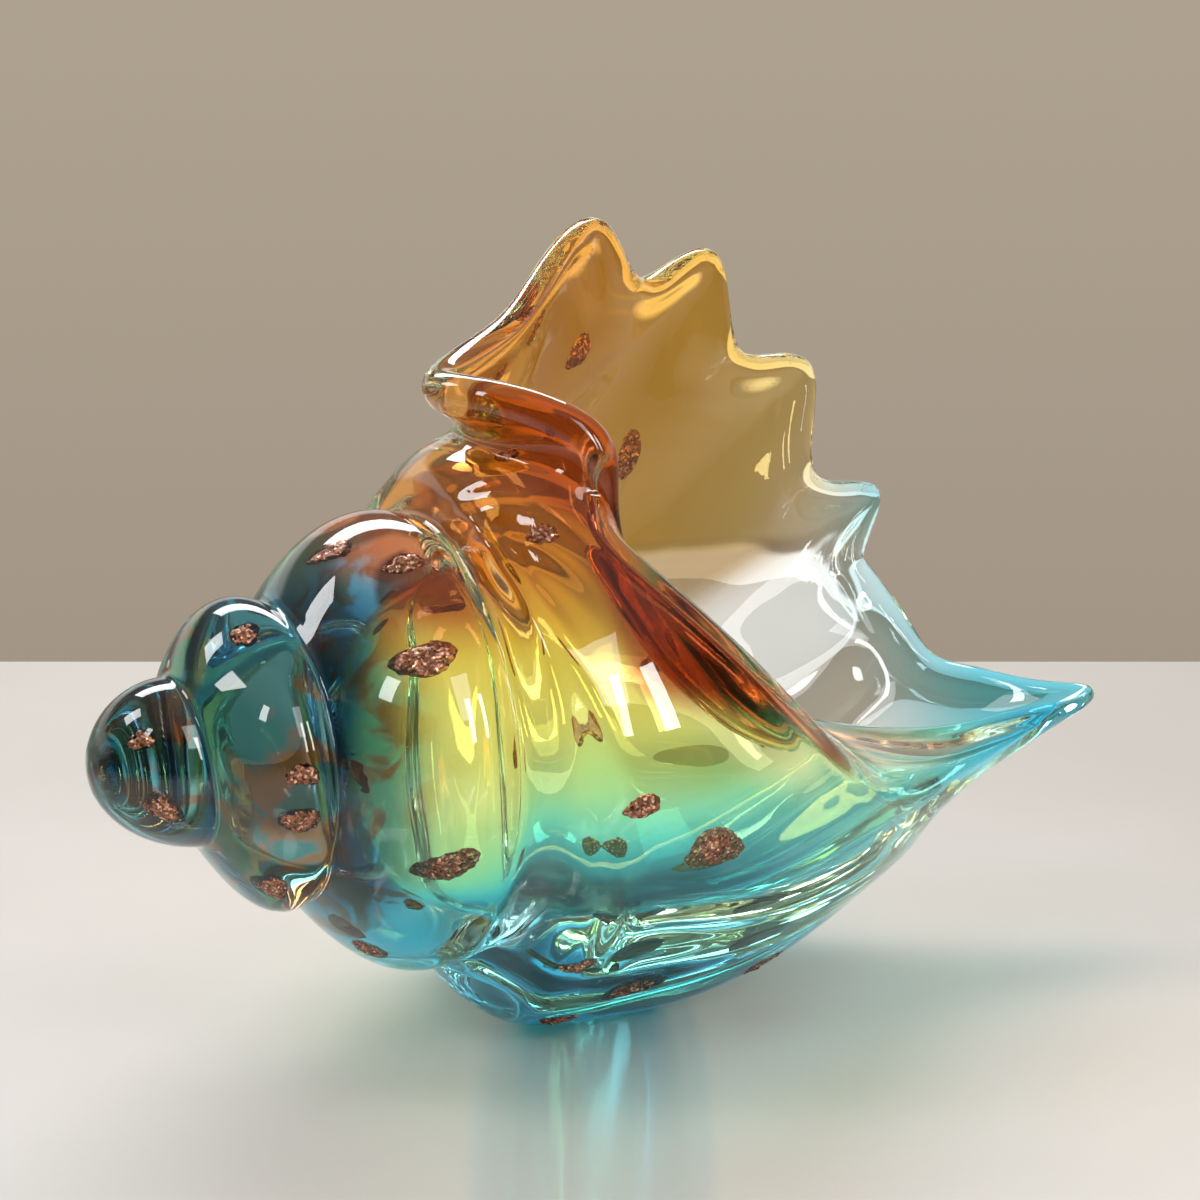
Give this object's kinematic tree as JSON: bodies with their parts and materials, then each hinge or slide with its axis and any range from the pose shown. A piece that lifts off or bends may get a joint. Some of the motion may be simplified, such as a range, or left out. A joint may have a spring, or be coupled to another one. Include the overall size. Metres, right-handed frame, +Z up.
{
  "type": "glass shell ornament",
  "caption": "Hand-blown glass conch ornament with a knobbed spire, a lobed hollow body, a flared lip with drawn points, a spout-like canal and copper chips, resting on a ground flat.",
  "frame": {"origin": "on the ground flat that the shell rests on, below the middle of the body whorl", "axes": "+X along the shell's axis to the canal tip, +Y to the back where the tall lip stands, +Z up"},
  "size_m": [0.2277, 0.1215, 0.1545],
  "materials": {
    "teal_glass": "gloss",
    "green_gold_glass": "gloss",
    "aqua_glass": "gloss",
    "red_amber_glass": "gloss",
    "amber_glass": "gloss",
    "copper_aventurine": "sparkling"
  },
  "bodies": {
    "root": {"spire_tip": "teal_glass", "upper_whorl": "teal_glass", "shoulder_whorl": "teal_glass", "body_whorl": "green_gold_glass", "siphonal_canal": "aqua_glass", "inner_lip": "red_amber_glass", "neck_curl": "amber_glass", "outer_lip": "amber_glass", "copper_chip_01": "copper_aventurine", "copper_chip_02": "copper_aventurine", "copper_chip_03": "copper_aventurine", "copper_chip_04": "copper_aventurine", "copper_chip_05": "copper_aventurine", "copper_chip_06": "copper_aventurine", "copper_chip_07": "copper_aventurine", "copper_chip_08": "copper_aventurine", "copper_chip_09": "copper_aventurine", "copper_chip_10": "copper_aventurine", "copper_chip_11": "copper_aventurine", "copper_chip_12": "copper_aventurine", "copper_chip_13": "copper_aventurine", "copper_chip_14": "copper_aventurine", "copper_chip_15": "copper_aventurine", "copper_chip_16": "copper_aventurine", "copper_chip_17": "copper_aventurine", "copper_chip_18": "copper_aventurine", "copper_chip_19": "copper_aventurine", "copper_chip_20": "copper_aventurine", "copper_chip_21": "copper_aventurine", "copper_chip_22": "copper_aventurine", "copper_chip_23": "copper_aventurine", "copper_chip_24": "copper_aventurine", "copper_chip_25": "copper_aventurine", "copper_chip_26": "copper_aventurine", "copper_chip_27": "copper_aventurine", "copper_chip_28": "copper_aventurine", "copper_chip_29": "copper_aventurine", "copper_chip_30": "copper_aventurine", "copper_chip_31": "copper_aventurine", "copper_chip_32": "copper_aventurine", "copper_chip_33": "copper_aventurine", "copper_chip_34": "copper_aventurine", "copper_chip_35": "copper_aventurine", "copper_chip_36": "copper_aventurine"}
  },
  "joints": []
}
